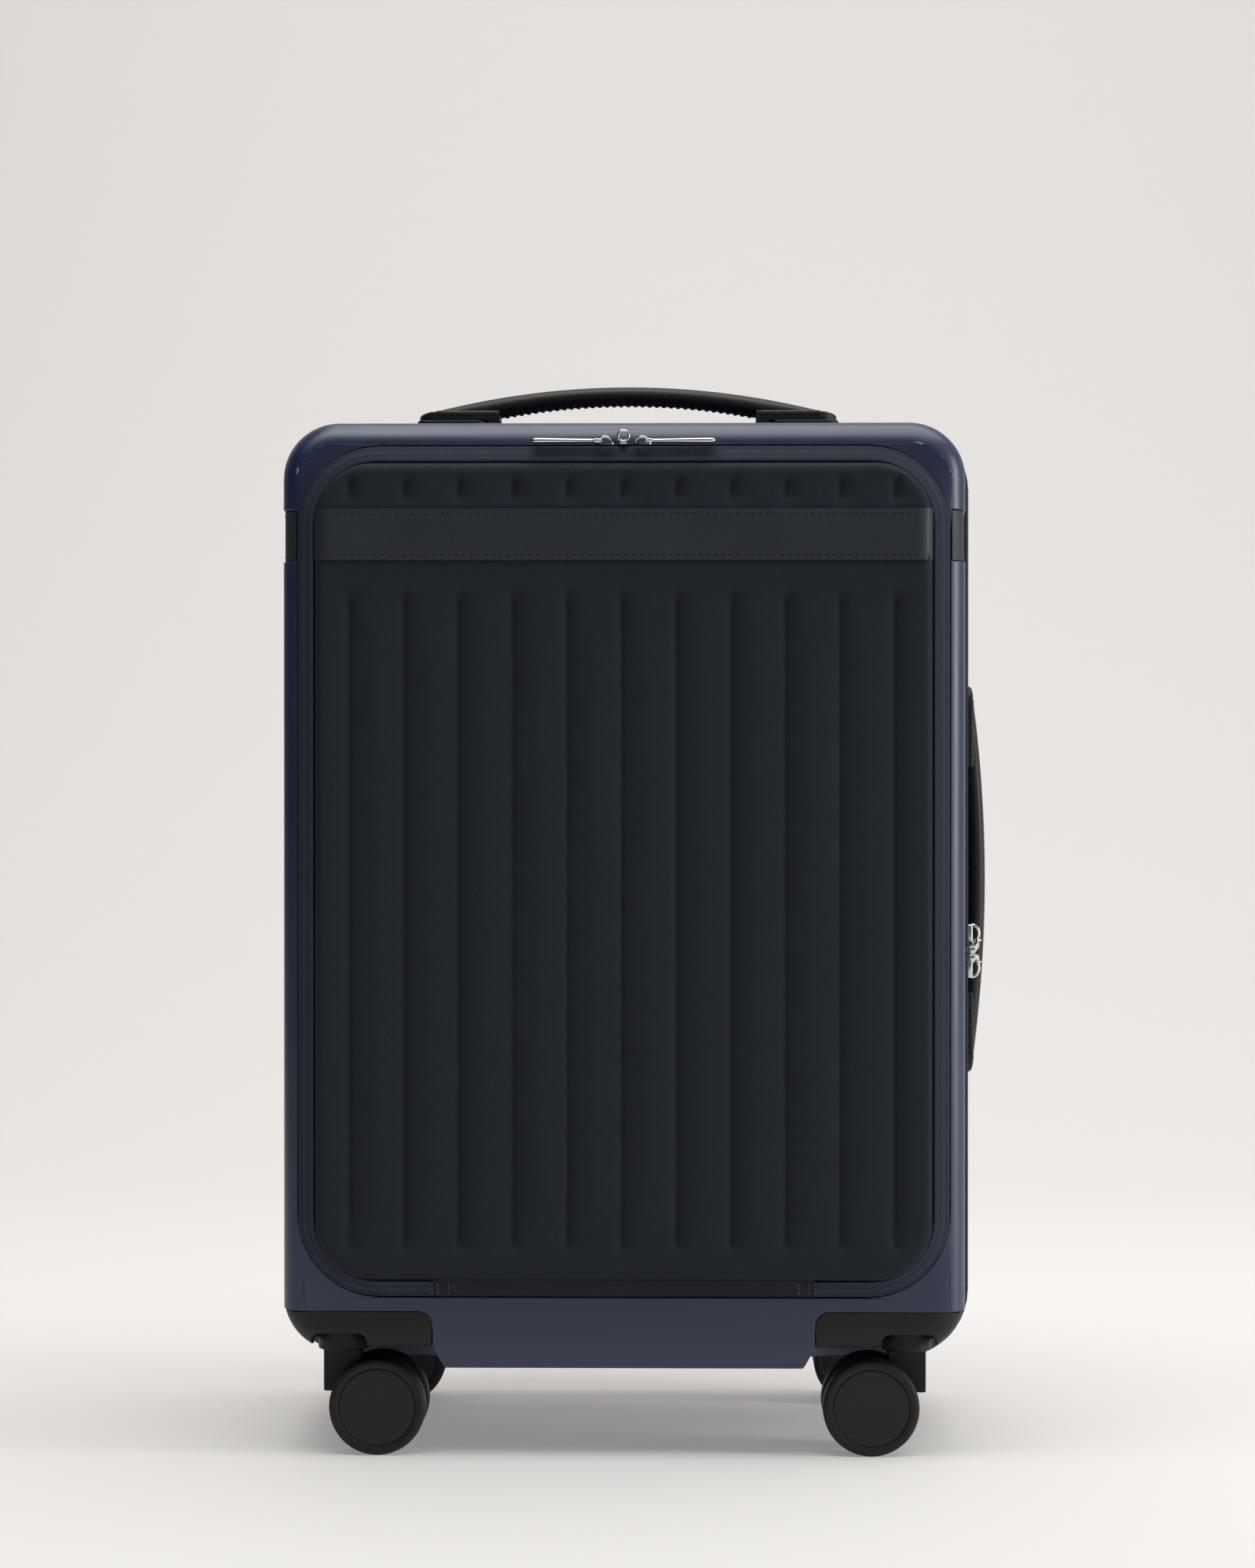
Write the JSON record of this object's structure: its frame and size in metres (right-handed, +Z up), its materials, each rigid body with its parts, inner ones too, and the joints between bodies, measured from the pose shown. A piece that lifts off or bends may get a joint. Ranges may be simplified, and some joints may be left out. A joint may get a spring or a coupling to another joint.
{
  "type": "hard shell suitcase on wheels",
  "caption": "Cabin-size hard shell suitcase with a padded fabric front pocket, leather handles, telescopic trolley and spinner casters.",
  "frame": {"origin": "on the floor, midway between the four casters, in the plane of the main zip", "axes": "+Z up, the front pocket faces -Y, +X to the right seen from the front"},
  "size_m": [0.381, 0.2292, 0.565],
  "materials": {
    "shell": "satin, fine moulded texture",
    "zip_tape": "herringbone woven tape",
    "flap_twill": "steep twill, padded and quilted",
    "leather": "fine grain, semi-matt",
    "chrome": "polished",
    "black_plastic": "moulded, fine texture",
    "tyre": "soft polyurethane tread",
    "hub": "moulded disc",
    "tube": "anodised",
    "steel": "zinc plated",
    "lining": "thin woven lining",
    "webbing": "ribbed webbing",
    "board": "stiff foam board"
  },
  "bodies": {
    "rear_half": {"rear_shell": "shell", "rear_band": "leather", "rear_zip_tape": "zip_tape", "hinge_tape": "zip_tape", "top_handle": "leather", "top_handle_plates": "black_plastic", "side_handle": "leather", "side_handle_plates": "black_plastic", "trolley_bezel": "black_plastic", "trolley_outer_tubes": "tube", "trolley_feet": "black_plastic", "rear_brackets": "black_plastic", "rear_bracket_screws": "steel", "rear_swivel_pins": "steel", "rear_lining": "lining", "compression_straps": "webbing", "strap_buckle": "black_plastic"},
    "front_half": {"front_shell": "shell", "front_bands": "leather", "front_zip_tape": "zip_tape", "pocket_zip_chain": "zip_tape", "pocket_lining": "lining", "laptop_sleeve": "lining", "front_brackets": "black_plastic", "front_bracket_screws": "steel", "front_swivel_pins": "steel", "lock_ring": "chrome", "divider_panel": "lining"},
    "pocket_flap": {"flap_panel": "flap_twill", "flap_gusset": "zip_tape", "flap_band": "leather", "flap_board": "board"},
    "trolley_lower": {"trolley_middle_tubes": "tube"},
    "trolley_upper": {"trolley_inner_tubes": "tube", "trolley_grip": "black_plastic", "button_spring": "steel"},
    "release_button": {"release_button": "black_plastic"},
    "caster_front_left": {"caster_front_left_fork": "black_plastic"},
    "wheels_front_left": {"caster_front_left_tyres": "tyre", "caster_front_left_hubs": "hub"},
    "caster_front_right": {"caster_front_right_fork": "black_plastic"},
    "wheels_front_right": {"caster_front_right_tyres": "tyre", "caster_front_right_hubs": "hub"},
    "caster_rear_left": {"caster_rear_left_fork": "black_plastic"},
    "wheels_rear_left": {"caster_rear_left_tyres": "tyre", "caster_rear_left_hubs": "hub"},
    "caster_rear_right": {"caster_rear_right_fork": "black_plastic"},
    "wheels_rear_right": {"caster_rear_right_tyres": "tyre", "caster_rear_right_hubs": "hub"},
    "zip_slider_left": {"top_slider_left": "chrome"},
    "zip_pull_left": {"top_pull_left": "chrome"},
    "zip_slider_right": {"top_slider_right": "chrome"},
    "zip_pull_right": {"top_pull_right": "chrome"},
    "case_slider_lower": {"side_slider_lower": "chrome"},
    "case_pull_lower": {"side_pull_lower": "chrome"},
    "case_slider_upper": {"side_slider_upper": "chrome"},
    "case_pull_upper": {"side_pull_upper": "chrome"}
  },
  "joints": [
    {"name": "case_hinge", "type": "hinge", "parent": "rear_half", "child": "front_half", "pos_m": [-0.1848, 0, 0.29], "axis": [0, 0, -1], "range_deg": [0, 160]},
    {"name": "flap_hinge", "type": "hinge", "parent": "front_half", "child": "pocket_flap", "pos_m": [0, -0.11, 0.084], "axis": [1, 0, 0], "range_deg": [0, 90]},
    {"name": "trolley_first_slide", "type": "slide", "parent": "rear_half", "child": "trolley_lower", "axis": [0, 0, 1], "range_m": [0, 0.205]},
    {"name": "trolley_second_slide", "type": "slide", "parent": "trolley_lower", "child": "trolley_upper", "axis": [0, 0, 1], "range_m": [0, 0.215]},
    {"name": "button_press", "type": "slide", "parent": "trolley_upper", "child": "release_button", "axis": [0, 0, -1], "range_m": [0, 0.0025], "stiffness_N_per_m": 600, "deforming": ["button_spring"]},
    {"name": "front_left_swivel", "type": "hinge", "parent": "front_half", "child": "caster_front_left", "pos_m": [-0.147, -0.08, 0.06], "axis": [0, 0, 1], "continuous": true},
    {"name": "front_left_roll", "type": "hinge", "parent": "caster_front_left", "child": "wheels_front_left", "pos_m": [-0.128, -0.08, 0.025], "axis": [0, 1, 0], "continuous": true},
    {"name": "front_right_swivel", "type": "hinge", "parent": "front_half", "child": "caster_front_right", "pos_m": [0.147, -0.08, 0.06], "axis": [0, 0, 1], "continuous": true},
    {"name": "front_right_roll", "type": "hinge", "parent": "caster_front_right", "child": "wheels_front_right", "pos_m": [0.128, -0.08, 0.025], "axis": [0, 1, 0], "continuous": true},
    {"name": "rear_left_swivel", "type": "hinge", "parent": "rear_half", "child": "caster_rear_left", "pos_m": [-0.147, 0.08, 0.06], "axis": [0, 0, 1], "continuous": true},
    {"name": "rear_left_roll", "type": "hinge", "parent": "caster_rear_left", "child": "wheels_rear_left", "pos_m": [-0.128, 0.08, 0.025], "axis": [0, 1, 0], "continuous": true},
    {"name": "rear_right_swivel", "type": "hinge", "parent": "rear_half", "child": "caster_rear_right", "pos_m": [0.147, 0.08, 0.06], "axis": [0, 0, 1], "continuous": true},
    {"name": "rear_right_roll", "type": "hinge", "parent": "caster_rear_right", "child": "wheels_rear_right", "pos_m": [0.128, 0.08, 0.025], "axis": [0, 1, 0], "continuous": true},
    {"name": "zip_slide_left", "type": "slide", "parent": "front_half", "child": "zip_slider_left", "axis": [-1, 0, 0], "range_m": [0, 0.105]},
    {"name": "zip_pull_left_lift", "type": "hinge", "parent": "zip_slider_left", "child": "zip_pull_left", "pos_m": [-0.0115, -0.1112, 0.52455], "axis": [0, 1, 0], "range_deg": [0, 90]},
    {"name": "zip_slide_right", "type": "slide", "parent": "front_half", "child": "zip_slider_right", "axis": [1, 0, 0], "range_m": [0, 0.105]},
    {"name": "zip_pull_right_lift", "type": "hinge", "parent": "zip_slider_right", "child": "zip_pull_right", "pos_m": [0.0115, -0.1112, 0.52455], "axis": [0, -1, 0], "range_deg": [0, 90]},
    {"name": "case_slide_lower", "type": "slide", "parent": "front_half", "child": "case_slider_lower", "axis": [0, 0, -1], "range_m": [0, 0.13]},
    {"name": "case_pull_lower_swing", "type": "hinge", "parent": "case_slider_lower", "child": "case_pull_lower", "pos_m": [0.1897, 0, 0.2485], "axis": [0, 0, 1], "range_deg": [0, 100]},
    {"name": "case_slide_upper", "type": "slide", "parent": "front_half", "child": "case_slider_upper", "axis": [0, 0, 1], "range_m": [0, 0.19]},
    {"name": "case_pull_upper_swing", "type": "hinge", "parent": "case_slider_upper", "child": "case_pull_upper", "pos_m": [0.1897, 0, 0.2655], "axis": [0, 0, 1], "range_deg": [0, 100]}
  ]
}
